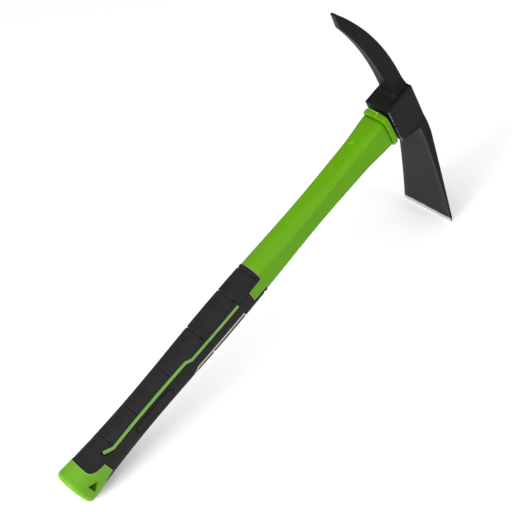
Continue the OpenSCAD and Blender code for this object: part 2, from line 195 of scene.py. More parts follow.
# Directions of the sections' corners, set out on a middling section of these half sizes: close
# together where the stripes run, wider elsewhere
MEAN_W, MEAN_D = 11.6, 14.8
CHEEK_STEP, STRIPE_STEP, STRIPES_LOW, STRIPES_HIGH = 0.88, 0.27, 3.52, 13.0
RIDGE_HIGH, RIDGE_LOW, RIDGE_STEP, RIDGE_MIDDLE = 7.1, 0.9, 0.78, [0.7, 0.45, 0.2]
cheek_z = np.concatenate([np.arange(0, STRIPES_LOW, CHEEK_STEP),
                          np.arange(STRIPES_LOW, STRIPES_HIGH, STRIPE_STEP)])
ridge_y = np.concatenate([np.arange(RIDGE_HIGH, RIDGE_LOW, -RIDGE_STEP), RIDGE_MIDDLE])
quarter = np.concatenate([np.arccos((cheek_z / MEAN_D) ** (GRIP_SQUARE / 2)),
                          np.arcsin((ridge_y / MEAN_W) ** (GRIP_SQUARE / 2)), [0.0]])[::-1]
TURNS = np.concatenate([quarter[:-1], np.pi - quarter[:0:-1],
                        np.pi + quarter[:-1], 2 * np.pi - quarter[:0:-1]])


def round_corner(distance, radius):
    inside = np.clip(radius - distance, 0, radius)
    return radius - np.sqrt(radius ** 2 - inside ** 2)


def low_edge(z):
    past = np.clip((np.abs(z) - TONGUE_W / 2) / TONGUE_SWEEP, 0, 1)
    return GRIP_LOW + TONGUE_LOW_L * (1 - np.sqrt(1 - (1 - past) ** 2))


def high_edge(z):
    past = np.abs(z) - TONGUE_W / 2
    outer = GRIP_HIGH - round_corner(past, TONGUE_ROUND)
    return np.where(past > 0, outer, GRIP_HIGH - TONGUE_HIGH_L)


# Where the rubber ends in each direction. The edge depends on z, and z on x, so it takes a few rounds.
EDGE_ROUNDS = 6


def edge_of_rubber(edge, start):
    x = np.full(TURNS.shape, start)
    for _ in range(EDGE_ROUNDS):
        _, half_d, square = skin(x)
        x = edge(half_d * squared(np.cos(TURNS), square))
    return x


low_x = edge_of_rubber(low_edge, GRIP_LOW)
high_x = edge_of_rubber(high_edge, GRIP_HIGH)


def to_bench(points):
    x, y, z = np.asarray(points, float).T
    out = np.stack([x * math.cos(LEAN) - z * math.sin(LEAN) - SHIFT, y,
                    x * math.sin(LEAN) + z * math.cos(LEAN) + LIFT], 1)
    return out / 1000


def from_bench(points):
    x, y, z = np.asarray(points, float).T * 1000
    x, z = x + SHIFT, z - LIFT
    return np.stack([x * math.cos(LEAN) + z * math.sin(LEAN), y,
                     -x * math.sin(LEAN) + z * math.cos(LEAN)], 1)


def new_piece(name, points, faces, finish):
    mesh = bpy.data.meshes.new(name)
    mesh.from_pydata(to_bench(points).tolist(), [], faces)
    mesh.materials.append(finish)
    piece = bpy.data.objects.new(name, mesh)
    bpy.context.scene.collection.objects.link(piece)
    return piece


def tube_faces(rows, columns, closed_rows=False):
    faces = []
    for k in range(rows if closed_rows else rows - 1):
        here, there = k * columns, (k + 1) % rows * columns
        for i in range(columns):
            j = (i + 1) % columns
            faces.append((here + i, there + i, there + j, here + j))
    return faces


def capped_tube(rings):
    columns, rows = len(rings[0]), len(rings)
    points = np.concatenate(rings + [rings[0].mean(0)[None], rings[-1].mean(0)[None]])
    faces = tube_faces(rows, columns)
    first, last, top = rows * columns, rows * columns + 1, (rows - 1) * columns
    for i in range(columns):
        j = (i + 1) % columns
        faces.append((first, i, j))
        faces.append((last, top + j, top + i))
    return points, faces


def soften(piece, degrees):
    mesh = piece.data
    mesh.polygons.foreach_set("use_smooth", [True] * len(mesh.polygons))
    mesh.set_sharp_from_angle(angle=math.radians(degrees))
    mesh.update()


def as_plain_mesh(piece):
    dressed = piece.evaluated_get(bpy.context.evaluated_depsgraph_get())
    mesh = bpy.data.meshes.new_from_object(dressed)
    piece.modifiers.clear()
    old, piece.data = piece.data, mesh
    mesh.name = piece.name
    bpy.data.meshes.remove(old)


def cut_away(piece, cutter):
    cut = piece.modifiers.new("cut", "BOOLEAN")
    cut.operation, cut.solver, cut.object = "DIFFERENCE", "EXACT", cutter
    as_plain_mesh(piece)
    bpy.data.objects.remove(cutter)


# Moulded polypropylene: coloured through, satin, with the faint eroded grain of the mould, drawn
# coarser than the real one (about 0.2 mm) so that it shows. Toward the butt the green is painted
# paler, as painted light for the light that falls off from butt to head, and a pale streak on the
# shaft's pick face is a painted highlight, the glint on its ridge.
# Painted light: the green is paler from the butt up to the first and fades out by the second, in mm
BUTT_LIGHT_FULL_X, BUTT_LIGHT_NONE_X = 40.0, 320.0
# Painted highlight: middle, size and turn of a pale streak on the shaft's pick face, in mm
GLINT, GLINT_SIZE, GLINT_TURN = (342.1, 1.4, 14.1), (3.4, 0.8, 1.5), math.radians(-41.6)
green_plastic, tree = new_finish("moulded_polypropylene_green")
place = add(tree, "ShaderNodeTexCoord").outputs["Object"]
clouds = add(tree, "ShaderNodeTexNoise", {"Vector": place, "Scale": per_metre(45),
                                          "Detail": 3}).outputs["Fac"]
green = add(tree, "ShaderNodeValToRGB", {"Fac": clouds})
green.color_ramp.elements[0].position, green.color_ramp.elements[1].position = 0.35, 0.7
green.color_ramp.elements[0].color = linear("#4D8203")
green.color_ramp.elements[1].color = linear("#538805")
# Painted light: the green turns paler toward the butt
butt_light = add(tree, "ShaderNodeAttribute", attribute_name="painted_butt_light").outputs["Fac"]
butt_lit = add(tree, "ShaderNodeMix", {"Factor": butt_light, "A": green.outputs["Color"],
                                      "B": linear("#588920")}, data_type="RGBA")
# Painted highlight: a pale streak mixed into the green on the shaft's pick face
glint_turn = Matrix.Rotation(-LEAN, 3, "Y") @ Matrix.Rotation(GLINT_TURN, 3, "Z")
on_glint = add(tree, "ShaderNodeMapping", {
    "Vector": place, "Location": to_bench([GLINT])[0], "Rotation": glint_turn.to_euler(),
    "Scale": [size / 1000 for size in GLINT_SIZE]}, vector_type="TEXTURE").outputs["Vector"]
glint = add(tree, "ShaderNodeTexGradient", {"Vector": on_glint}, gradient_type="SPHERICAL")
glint_depth = add(tree, "ShaderNodeMapRange", {"Value": glint.outputs["Fac"], "From Max": 0.7,
                                               "To Max": 0.9}).outputs["Result"]
glinted = add(tree, "ShaderNodeMix", {"Factor": glint_depth, "A": butt_lit.outputs["Result"],
                                      "B": linear("#6FAD42")}, data_type="RGBA")
grain = add(tree, "ShaderNodeTexNoise", {"Vector": place, "Scale": per_metre(0.7),
                                         "Detail": 2}).outputs["Fac"]
satin = add(tree, "ShaderNodeMapRange", {"Value": grain, "To Min": 0.3, "To Max": 0.42})
eroded = add(tree, "ShaderNodeBump", {"Height": grain, "Strength": 0.12, "Distance": 0.0002})
plastic = add(tree, "ShaderNodeBsdfPrincipled", {
    "Base Color": glinted.outputs["Result"], "Roughness": satin.outputs["Result"],
    "IOR": 1.49, "Specular IOR Level": 0.06, "Normal": eroded.outputs["Normal"]})
add(tree, "ShaderNodeOutputMaterial", {"Surface": plastic.outputs["BSDF"]})

rings = []
for turn in np.linspace(0, np.pi / 2, 10):
    rings.append(skin_ring(BUTT_R * (1 - math.cos(turn)),
                           BUTT_R * (1 - math.sin(turn)) - BUTT_PROUD))
for share in np.linspace(0, 1, 16)[1:]:
    rings.append(skin_ring(BUTT_R + (low_x - EDGE_R - BUTT_R) * share, -BUTT_PROUD))
rings.append(skin_ring(low_x - EDGE_STEP, -BUTT_PROUD + EDGE_STEP))
rings.append(skin_ring(low_x, -BUTT_PROUD + EDGE_R))
for share in np.linspace(0, 1, 30):
    rings.append(skin_ring(low_x + (high_x - low_x) * share, GRIP_T))
rings.append(skin_ring(high_x, GRIP_PROUD + EDGE_R))
rings.append(skin_ring(high_x + EDGE_STEP, GRIP_PROUD + EDGE_STEP))
for share in np.linspace(0, 1, 40):
    rings.append(shaft_ring(high_x + EDGE_R + (NECK_X - high_x - EDGE_R) * share, GRIP_PROUD))
for share in np.linspace(0, NECK_SHARE, 14)[1:]:
    rings.append(shaft_ring(NECK_X + NECK_L * share, GRIP_PROUD - NECK_OUT * ease(share)))
for gap, inset in COLLAR_GROOVE:
    rings.append(shaft_ring(COLLAR_X - gap, inset))
for turn in np.linspace(0, np.pi / 2, 7):
    inset = COLLAR_R * (1 - math.sin(turn))
    rings.append(handle_ring(COLLAR_X + COLLAR_R * (1 - math.cos(turn)), COLLAR_W / 2 - inset,
                             COLLAR_D / 2 - inset, COLLAR_SQUARE))
for turn in np.linspace(np.pi / 2, 0, 7):
    inset = COLLAR_R * (1 - math.sin(turn))
    rings.append(handle_ring(HANDLE_L - COLLAR_R * (1 - math.cos(turn)), COLLAR_W / 2 - inset,
                             COLLAR_D / 2 - inset, COLLAR_SQUARE))
for x in (HANDLE_L, HANDLE_L + TENON_FOOT, TENON_X - TENON_EASE):
    rings.append(handle_ring(x, TENON_W / 2, TENON_D / 2, TENON_SQUARE))
rings.append(handle_ring(TENON_X, TENON_W / 2 - TENON_EASE, TENON_D / 2 - TENON_EASE, TENON_SQUARE))
jacket = new_piece("jacket", *capped_tube(rings), green_plastic)

# The hanging hole: a triangle with its point toward the head, eased where it meets the cheeks.
# HOLE_INNER is about the distance from its middle to its sides.
middle = np.array([HOLE_X + HOLE_H / 3, 0.0])
corners = np.array([[HOLE_X, -HOLE_BASE / 2], [HOLE_X + HOLE_H, 0.0], [HOLE_X, HOLE_BASE / 2]])
outline = []
for k in range(3):
    before, here, after = corners[k - 1], corners[k], corners[(k + 1) % 3]
    into, out = (before - here), (after - here)
    into, out = into / np.linalg.norm(into), out / np.linalg.norm(out)
    reach = HOLE_ROUND / math.tan(math.acos(into @ out) / 2)
    for share in np.linspace(0, 1, 6):
        a, b = here + into * reach * (1 - share), here + out * reach * share
        outline.append(a * (1 - share) + b * share)
outline = np.array(outline)
mouth = []
for y, grow in ((-HOLE_FLAT - HOLE_MOUTH, HOLE_MOUTH * HOLE_EASE), (-HOLE_FLAT, 0),
                (HOLE_FLAT, 0), (HOLE_FLAT + HOLE_MOUTH, HOLE_MOUTH * HOLE_EASE)):
    spread = (outline - middle) * (1 + grow / HOLE_INNER)
    mouth.append(np.stack([middle[0] + spread[:, 0], np.full(len(outline), y),
                           middle[1] + spread[:, 1]], 1))
cut_away(jacket, new_piece("hole_cutter", *capped_tube(mouth), green_plastic))

# The rod's bed: the plastic is moulded tight round the rod, so only the play is left between them
rod_bed = [handle_ring(x, ROD_D / 2 + PLAY, ROD_D / 2 + PLAY, 2)
           for x in (ROD_LOW - PLAY, ROD_HIGH + PLAY)]
cut_away(jacket, new_piece("rod_cutter", *capped_tube(rod_bed), green_plastic))
soften(jacket, 32)
# Painted light: a paler green toward the butt, by distance along the handle
along = from_bench([v.co for v in jacket.data.vertices])[:, 0]
jacket.data.attributes.new("painted_butt_light", "FLOAT", "POINT").data.foreach_set(
    "value", (1 - part_way(along, BUTT_LIGHT_FULL_X, BUTT_LIGHT_NONE_X)).astype(np.float32))
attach(jacket, "root")
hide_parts("handle_jacket")

# Flash: thin green plastic squeezed between the mould's halves, which stays on the jacket as a fine
# line along the collar's upper rim and then steps down across it.

# The jacket's green, paler and a little glossy; the paler colour is a painted highlight along the
# collar's rim and on its seam.
highlit_flash_plastic, tree = new_finish("flash_polypropylene_painted_highlight")
flash_shine = add(tree, "ShaderNodeBsdfPrincipled", {
    "Base Color": linear("#7CB040"), "Roughness": 0.3, "IOR": 1.49, "Specular IOR Level": 0.1})
add(tree, "ShaderNodeOutputMaterial", {"Surface": flash_shine.outputs["BSDF"]})
SEAM_W, SEAM_PROUD, SEAM_DEEP, SEAM_Y, SEAM_ROUND, SEAM_END = 0.9, 0.35, 0.4, 2.6, 0.15, 0.3
COLLAR_RIM_W, COLLAR_RIM_FAR, COLLAR_RIM_DOWN, COLLAR_RIM_SUNK = 0.63, 9.6, 0.45, 0.1


# One line of flash along a path, standing out of the face that the path lies on
def flash_line(name, path, wide):
    path = np.array(path)
    ends = path[-1] - path[0]
    out = np.array((0.0, 0.0, np.sign(path[0, 2])))
    across = np.cross(out, ends / np.linalg.norm(ends))
    shape = ((-0.5, -SEAM_DEEP), (-0.5, SEAM_PROUD - SEAM_ROUND), (-0.25, SEAM_PROUD),
             (0.25, SEAM_PROUD), (0.5, SEAM_PROUD - SEAM_ROUND), (0.5, -SEAM_DEEP))
    rings = [np.array([spot + across * a * wide + out * b for a, b in shape]) for spot in path]
    line = new_piece(name, *capped_tube(rings), highlit_flash_plastic)
    soften(line, 30)
    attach(line, "root")
    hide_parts("handle_jacket")


def collar_face(y):
    return COLLAR_D / 2 * (1 - (abs(y) / (COLLAR_W / 2)) ** COLLAR_SQUARE) ** (1 / COLLAR_SQUARE)


for side, where in ((1, "pick_side"), (-1, "hoe_side")):
    down = [(x, -SEAM_Y, side * collar_face(SEAM_Y))
            for x in (COLLAR_X + SEAM_END, HANDLE_L - SEAM_END)]
    flash_line("collar_seam_" + where, down, SEAM_W)
    round_rim = [(HANDLE_L - COLLAR_RIM_DOWN, y, side * (collar_face(y) - COLLAR_RIM_SUNK))
                 for y in np.linspace(COLLAR_RIM_FAR, -SEAM_Y, 9)]
    flash_line("collar_rim_" + where, round_rim, COLLAR_RIM_W)

# Stripe ribs: thin ribs of the jacket's green plastic, which show in slots of the rubber, nearly
# flush. The long one steps sideways once and bends out at its lower end. The short one, on the hoe
# side, runs out over the edge at the sidestep.

# Moulded polypropylene against polished mould steel: the same plastic, paler and with more gloss. The
# attribute read below says how much pale grey is mixed in as painted light: a painted reflection of
# the white floor on the short rib, a painted highlight on the lips, and a trace on the long rib.
rib_plastic, tree = new_finish("polished_polypropylene_green")
# Painted highlight and painted reflection: how much pale grey goes into the rib's green
sheen_share = add(tree, "ShaderNodeAttribute", attribute_name="painted_sheen").outputs["Fac"]
rib_colour = add(tree, "ShaderNodeMix", {"Factor": sheen_share, "A": linear("#577E2B"),
                                         "B": linear("#989D8A")}, data_type="RGBA")
polished = add(tree, "ShaderNodeBsdfPrincipled", {
    "Base Color": rib_colour.outputs["Result"], "Roughness": 0.25, "IOR": 1.49})
add(tree, "ShaderNodeOutputMaterial", {"Surface": polished.outputs["BSDF"]})

# Sizes in mm: X along the handle, and the distance of the stripes' middle from the cheek's middle
STRIPE_W, STRIPE_SUNK, STRIPE_DEEP, PATH_STEP, LEAST_STEPS = 2.9, 0.1, 1.1, 1.5, 6
LONG_RIB_W, SHORT_RIB_W, RIB_ROUND = 2.7, 2.1, 0.15
# Share of the pale grey: a painted reflection on the short rib, a trace on the long one
LONG_RIB_SHEEN, SHORT_RIB_SHEEN = 0.04, 1.0
STRIPE_HIGH, STEP_HIGH_X, STEP_LOW_X, BEND_X, STRIPE_LOW = 184.4, 130.4, 124.8, 43.2, 35.4
STRIPE_IN, STRIPE_OUT, STRIPE_END, STRIPE_FAR = 6.1, 8.6, 12.0, 10.6
LONG_STRIPE = np.array([[STRIPE_HIGH, STRIPE_IN], [STEP_HIGH_X, STRIPE_IN], [STEP_LOW_X, STRIPE_OUT],
                        [BEND_X, STRIPE_OUT], [STRIPE_LOW, STRIPE_END]])
SHORT_STRIPE = np.array([[STRIPE_HIGH, STRIPE_IN], [STEP_HIGH_X, STRIPE_IN], [STEP_LOW_X, STRIPE_FAR]])


# The bare path of a rib, with the way up and the share of painted pale grey at each point
def rib_path(name, points, edges, ups, sheen_values):
    mesh = bpy.data.meshes.new(name)
    mesh.from_pydata(to_bench(points).tolist(), edges, [])
    turned = to_bench(np.array(ups) * 1000) - to_bench(np.zeros((1, 3)))
    mesh.attributes.new("rib_up", "FLOAT_VECTOR", "POINT").data.foreach_set(
        "vector", turned.astype(np.float32).ravel())
    mesh.attributes.new("painted_sheen", "FLOAT", "POINT").data.foreach_set("value", sheen_values)
    piece = bpy.data.objects.new(name, mesh)
    bpy.context.scene.collection.objects.link(piece)
    return piece


sweep = bpy.data.node_groups.new("rib_along_path", "GeometryNodeTree")
sweep.is_modifier = True
sockets = {"Path": sweep.interface.new_socket("Path", in_out="INPUT",
                                              socket_type="NodeSocketGeometry")}
for name in ("Rib width", "Rib height", "Edge round"):
    sockets[name] = sweep.interface.new_socket(name, in_out="INPUT",
                                               socket_type="NodeSocketFloat")
sockets["Finish"] = sweep.interface.new_socket("Finish", in_out="INPUT",
                                               socket_type="NodeSocketMaterial")
sweep.interface.new_socket("Ribs", in_out="OUTPUT", socket_type="NodeSocketGeometry")
given = add(sweep, "NodeGroupInput").outputs
run = add(sweep, "GeometryNodeMeshToCurve", {"Mesh": given["Path"]})
up = add(sweep, "GeometryNodeInputNamedAttribute", {"Name": "rib_up"}, data_type="FLOAT_VECTOR")
upright = add(sweep, "GeometryNodeSetCurveNormal", {
    "Curve": run.outputs["Curve"], "Normal": up.outputs["Attribute"]}, mode="FREE")
section = add(sweep, "GeometryNodeCurvePrimitiveQuadrilateral", {
    "Width": given["Rib height"], "Height": given["Rib width"]})
eased = add(sweep, "GeometryNodeFilletCurve", {
    "Curve": section.outputs["Curve"], "Radius": given["Edge round"], "Count": 3}, mode="POLY")
swept = add(sweep, "GeometryNodeCurveToMesh", {
    "Curve": upright.outputs["Curve"], "Profile Curve": eased.outputs["Curve"],
    "Fill Caps": True})
real = add(sweep, "GeometryNodeRealizeInstances", {"Geometry": swept.outputs["Mesh"]})
dressed = add(sweep, "GeometryNodeSetMaterial", {
    "Geometry": real.outputs["Geometry"], "Material": given["Finish"]})
add(sweep, "NodeGroupOutput", {"Ribs": dressed.outputs["Geometry"]})


def sweep_ribs(piece, wide, high, edge_round):
    maker = piece.modifiers.new("rib_along_path", "NODES")
    maker.node_group = sweep
    maker[sockets["Rib width"].identifier] = wide / 1000
    maker[sockets["Rib height"].identifier] = high / 1000
    maker[sockets["Edge round"].identifier] = edge_round / 1000
    maker[sockets["Finish"].identifier] = rib_plastic
    as_plain_mesh(piece)
    soften(piece, 40)
    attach(piece, "root")
    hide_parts("handle_jacket")


# Points down the middle of a rib on one cheek, and the way that the skin faces there
def stripe_line(stripe, side, cheek):
    path = []
    for a, b in zip(stripe[:-1], stripe[1:]):
        steps = max(LEAST_STEPS, int(np.linalg.norm(b - a) / PATH_STEP))
        path += [a + (b - a) * i / steps for i in range(steps)]
    x, z = np.array(path + [stripe[-1]]).T
    half_w, half_d, square = skin(x)
    half_w = half_w - STRIPE_SUNK - STRIPE_DEEP / 2
    half_d = half_d - STRIPE_SUNK - STRIPE_DEEP / 2
    y = half_w * (1 - (z / half_d) ** square) ** (1 / square)
    up = np.stack([0 * x, cheek * (y / half_w) ** (square - 1) / half_w,
                   side * (z / half_d) ** (square - 1) / half_d], 1)
    return np.stack([x, cheek * y, side * z], 1), up / np.linalg.norm(up, axis=1)[:, None]


for name, stripe, side, wide, sheen in (
        ("long_stripe_ribs", LONG_STRIPE, 1, LONG_RIB_W, LONG_RIB_SHEEN),
        ("short_stripe_ribs", SHORT_STRIPE, -1, SHORT_RIB_W, SHORT_RIB_SHEEN)):
    points, edges, ups = [], [], []
    for cheek in (-1, 1):
        line, up = stripe_line(stripe, side, cheek)
        edges += [(len(points) + i, len(points) + i + 1) for i in range(len(line) - 1)]
        points += line.tolist()
        ups += up.tolist()
    ribs = rib_path(name, points, edges, ups, [sheen] * len(points))
    sweep_ribs(ribs, wide, STRIPE_DEEP, RIB_ROUND)

# Lips: the fine line that the mould leaves on the jacket's green where the rubber ends, one at the
# butt and one at the shaft. Polished plastic like the ribs, and made by the same sweep; their pale
# grey is a painted highlight on the rounded edge.

LIP_W, LIP_T, LIP_PROUD, LIP_ROUND = 0.5, 0.4, 0.06, 0.1
# Share of the pale grey, a painted highlight, on the lip at the butt and at the shaft
LOW_LIP_SHEEN, HIGH_LIP_SHEEN = 0.25, 0.8
points, edges, ups, sheen_values = [], [], [], []
for edge, inset, way, sheen_share in ((low_x, -BUTT_PROUD, -1, LOW_LIP_SHEEN),
                               (high_x, GRIP_PROUD, 1, HIGH_LIP_SHEEN)):
    ring = skin_ring(edge, inset)
    half_w, half_d, square = skin(edge)
    out = np.stack([0 * edge, squared(ring[:, 1] / half_w, 2 / (square - 1)) / half_w,
                    squared(ring[:, 2] / half_d, 2 / (square - 1)) / half_d], 1)
    out /= np.linalg.norm(out, axis=1)[:, None]
    beside = np.cross(out, np.roll(ring, -1, 0) - np.roll(ring, 1, 0))
    beside *= way * np.sign(beside[:, 0].mean()) / np.linalg.norm(beside, axis=1)[:, None]
    start = len(points)
    points += (ring + beside * LIP_W / 2 + out * (LIP_PROUD - LIP_T / 2)).tolist()
    ups += out.tolist()
    sheen_values += [sheen_share] * len(ring)
    edges += [(start + i, start + (i + 1) % len(ring)) for i in range(len(ring))]
sweep_ribs(rib_path("rubber_lips", points, edges, ups, sheen_values), LIP_W, LIP_T, LIP_ROUND)

# Grip: soft black rubber moulded over the jacket's bed, with cross grooves on the pick side and
# the hoe side, a long pad with a groove round it on each cheek, and slots for the stripe ribs.

# Sizes in mm: T is a depth, SOFT the width over which a rim is eased, Z the distance from the
# cheek's middle
GROOVES = (44.4, 72.9, 110.1, 147.3, 184.5, 208.3)
GROOVE_W, GROOVE_FLAT, GROOVE_SOFT = 1.5, 0.3, 0.25
GROOVE_T, GROOVE_LOW_T, GROOVE_HIGH_T = 0.4, 0.6, 1.3
GROOVE_DEEP_Z, GROOVE_FLAT_Z, GROOVE_STOP_Z, GROOVE_STOP_SOFT = 12.0, 14.2, 11.2, 0.4
RUN_OUT_Z, RUN_OUT_SLOPE = 7.6, 0.35
PAD_W, PAD_LOW, PAD_HIGH = 9.6, 62.6, 104.6
PAD_LINE, PAD_LINE_T, PAD_SOFT_IN, PAD_SOFT_OUT = 0.9, 1.0, 0.25, 0.1
SLOT_T, SLOT_PLAY, SLOT_SOFT = 1.2, 0.05, 0.4
CREASE_LOW, CREASE_HIGH, CREASE_T, CREASE_FLAT, CREASE_SOFT = 184.0, 199.0, 0.3, 0.1, 0.7
# Rims of the rubber: each ring's distance from the edge and its depth below the skin
RUBBER_RIMS = ((0.0, 0.3), (0.08, 0.12), (0.25, 0.0))
RUBBER_RIM_L = RUBBER_RIMS[-1][0]


def fall(distance, inner, outer):
    return 1 - ease(part_way(distance, inner, outer))


def to_line(x, z, a, b):
    along = b - a
    share = np.clip(((x - a[0]) * along[0] + (z - a[1]) * along[1]) / (along @ along), 0, 1)
    return np.hypot(x - a[0] - share * along[0], z - a[1] - share * along[1])


def slot_depth(x, z, stripe):
    away = np.min([to_line(x, z, a, b) for a, b in zip(stripe[:-1], stripe[1:])], 0)
    away = np.maximum(away, x - STRIPE_HIGH + STRIPE_W / 2)
    return SLOT_T * fall(away, STRIPE_W / 2 + SLOT_PLAY, STRIPE_W / 2 + SLOT_SOFT)


# How deep the rubber lies below its skin: the deepest of grooves, pad line, slots and crease
def rubber_inset(x, side_z):
    z = np.abs(side_z)
    inset = np.zeros(np.broadcast(x, z).shape)
    for groove in GROOVES:
        # Above the sidestep the stripes leave room for the grooves to run out over the corner
        if groove > STEP_HIGH_X:
            limit = np.clip((z - RUN_OUT_Z) * RUN_OUT_SLOPE, 0, GROOVE_HIGH_T)
        else:
            limit = GROOVE_LOW_T * (1 - fall(z, GROOVE_STOP_Z - GROOVE_STOP_SOFT,
                                             GROOVE_STOP_Z + GROOVE_STOP_SOFT))
        across = fall(np.abs(x - groove), GROOVE_FLAT, GROOVE_W / 2 + GROOVE_SOFT)
        deep = GROOVE_T + (GROOVE_HIGH_T - GROOVE_T) * fall(z, GROOVE_DEEP_Z, GROOVE_FLAT_Z)
        inset = np.maximum(inset, np.minimum(deep, limit) * across)
    pad = to_line(x, z, np.array([PAD_LOW + PAD_W / 2, 0.0]), np.array([PAD_HIGH - PAD_W / 2, 0.0]))
    from_line = np.abs(pad - PAD_W / 2 + PAD_LINE / 2)
    inset = np.maximum(inset, PAD_LINE_T * fall(from_line, PAD_LINE / 2 - PAD_SOFT_IN,
                                                PAD_LINE / 2 + PAD_SOFT_OUT))
    inset = np.maximum(inset, np.where(side_z > 0, slot_depth(x, z, LONG_STRIPE),
                                       slot_depth(x, z, SHORT_STRIPE)))
    crease = to_line(x, z, np.array([CREASE_LOW, STRIPE_IN]), np.array([CREASE_HIGH, TONGUE_W / 2]))
    return np.maximum(inset, CREASE_T * fall(crease, CREASE_FLAT, CREASE_SOFT))


# Stations along the rubber: even ones, and close ones at the grooves, at the bends and ends of the
# stripes and at the ends of the pad. The last rows follow the rubber's edge, close at the top groove.
EVEN_LOW, EVEN_HIGH, EVEN_STEP = 32.0, 195.0, 1.6
GROOVE_SPAN, GROOVE_STEP, SPAN_GAP, LEAST_GAP = 1.2, 0.15, 0.1, 0.12
CLOSE_SPANS = [(33.0, 45.0, 0.35), (121.6, 132.4, 0.3), (182.0, 186.4, 0.2),
               (62.0, 67.6, 0.3), (99.6, 105.2, 0.3)]
TOP_GROOVE_SHARES, LAST_SHARE = np.linspace(0.74, 0.88, 21), 0.94
groove_spans = [(g - GROOVE_SPAN, g + GROOVE_SPAN, GROOVE_STEP) for g in GROOVES if g < EVEN_HIGH]
stations = set(np.arange(EVEN_LOW, EVEN_HIGH + SPAN_GAP, EVEN_STEP).round(2))
for low, high, step in groove_spans + CLOSE_SPANS:
    stations = {s for s in stations if not low - SPAN_GAP < s < high + SPAN_GAP}
    stations |= set(np.arange(low, high + step / 2, step).round(2))
stations = np.array(sorted(s for s in stations if EVEN_LOW <= s <= EVEN_HIGH))
stations = stations[np.concatenate([[True], np.diff(stations) > LEAST_GAP])]
rows = [(low_x + step, drop) for step, drop in RUBBER_RIMS]
rows += [(low_x + RUBBER_RIM_L + (stations[0] - low_x - RUBBER_RIM_L) * share, 0.0)
         for share in np.linspace(0, 1, 14)[1:-1]]
rows += [(np.full(TURNS.shape, x), 0.0) for x in stations]
high_shares = np.concatenate([np.linspace(0, TOP_GROOVE_SHARES[0], 10)[1:-1], TOP_GROOVE_SHARES,
                              [LAST_SHARE]])
rows += [(stations[-1] + (high_x - RUBBER_RIM_L - stations[-1]) * share, 0.0) for share in high_shares]
rows += [(high_x - step, drop) for step, drop in RUBBER_RIMS[::-1]]
rings = []
for x, drop in rows:
    flat = skin_ring(x, 0.0)
    rings.append(skin_ring(x, np.maximum(drop, rubber_inset(x, flat[:, 2]))))
for share in np.linspace(1, 0, 30):
    rings.append(skin_ring(low_x + (high_x - low_x) * share, GRIP_T - PLAY))

# Thermoplastic rubber: nearly black, matt, with a fine eroded texture that breaks the light, drawn
# coarser than the real one (about 0.2 mm) so that it shows.
black_rubber, tree = new_finish("thermoplastic_rubber_black")
place = add(tree, "ShaderNodeTexCoord").outputs["Object"]
pores = add(tree, "ShaderNodeTexNoise", {"Vector": place, "Scale": per_metre(0.6),
                                         "Detail": 3}).outputs["Fac"]
dust = add(tree, "ShaderNodeTexNoise", {"Vector": place, "Scale": per_metre(12),
                                        "Detail": 4}).outputs["Fac"]
soot = add(tree, "ShaderNodeValToRGB", {"Fac": dust})
soot.color_ramp.elements[0].position, soot.color_ramp.elements[1].position = 0.35, 0.7
soot.color_ramp.elements[0].color = linear("#151515")
soot.color_ramp.elements[1].color = linear("#191919")
dull = add(tree, "ShaderNodeMapRange", {"Value": pores, "To Min": 0.62, "To Max": 0.76})
texture = add(tree, "ShaderNodeBump", {"Height": pores, "Strength": 0.35, "Distance": 0.0002})
rubber = add(tree, "ShaderNodeBsdfPrincipled", {
    "Base Color": soot.outputs["Color"], "Roughness": dull.outputs["Result"], "IOR": 1.5,
    "Specular IOR Level": 0.14, "Normal": texture.outputs["Normal"]})
add(tree, "ShaderNodeOutputMaterial", {"Surface": rubber.outputs["BSDF"]})

grip = new_piece("rubber_grip", np.concatenate(rings),
                 tube_faces(len(rings), len(TURNS), closed_rows=True), black_rubber)
soften(grip, 40)
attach(grip, "root")
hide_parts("grip")

# Head: one drop-forged steel piece, pick, eye and hoe, dipped in black lacquer. The cutting edge
# is ground bare afterwards, and the lacquer is rubbed through along the eye's lower rim.

# Sizes in mm: eye and bore, then pick and hoe with their reach from the handle's axis. R is a
# rounding, DROP how far a tip hangs toward the butt, and a SHARE runs from root (0) to tip (1).
EYE_LOW, EYE_HIGH = 375.8, 405.4
EYE_W, EYE_D, EYE_OFF, EYE_R, EYE_RIM, EYE_MARGIN = 25.8, 38.6, 2.2, 1.6, 0.9, 1.5
BORE_W, BORE_D, BORE_EASE, BORE_PAST = 14.6, 26.0, 0.6, 2.0
PICK_REACH, PICK_DROP, PICK_UNDER, PICK_H, PICK_W = 129.0, 27.1, 14.6, 15.2, 13.0
PICK_TIP_W, PICK_TIP_T, PICK_R, PICK_UNDER_R, PICK_END_R = 4.4, 2.0, 1.0, 4.5, 0.7
PICK_FILLET, PICK_FILLET_SHARE, PICK_BOW, PICK_BEVEL = 2.6, 0.1, 2.3, 0.87
PICK_R_PART, PICK_END_SHARE = 0.3, 0.985
HOE_REACH, HOE_DROP, HOE_W, HOE_T, HOE_TIP_T = 132.4, 26.6, 55.4, 9.8, 2.1
HOE_EDGE_T, HOE_BEVEL, HOE_R, HOE_BEND = 0.7, 4.0, 0.3, 0.2
HOE_THINNING, HOE_WIDENING, HOE_BACK_SHARE, HOE_WEB, HOE_WEB_PAST = 1.6, 0.95, 0.8, 6.5, 2.0
HOE_R_SHARE, HOE_BLEND, HOE_BLEND_OUT, HOE_CLOSE_SHARES = 0.15, 2.5, 0.62, (0.08, 0.3)
PICK_ROOT, HOE_ROOT = EYE_D / 2 + EYE_OFF, EYE_D / 2 - EYE_OFF
PICK_RUN, HOE_RUN = PICK_REACH - PICK_ROOT, HOE_REACH - HOE_ROOT
HOE_GROUND = 1 - HOE_BEVEL / HOE_RUN


# A section across the head at z: a slab from its under side to its back, with four rounded edges.
# MOST_ROUND is the most of a side that a rounding may take.
MOST_ROUND = 0.49


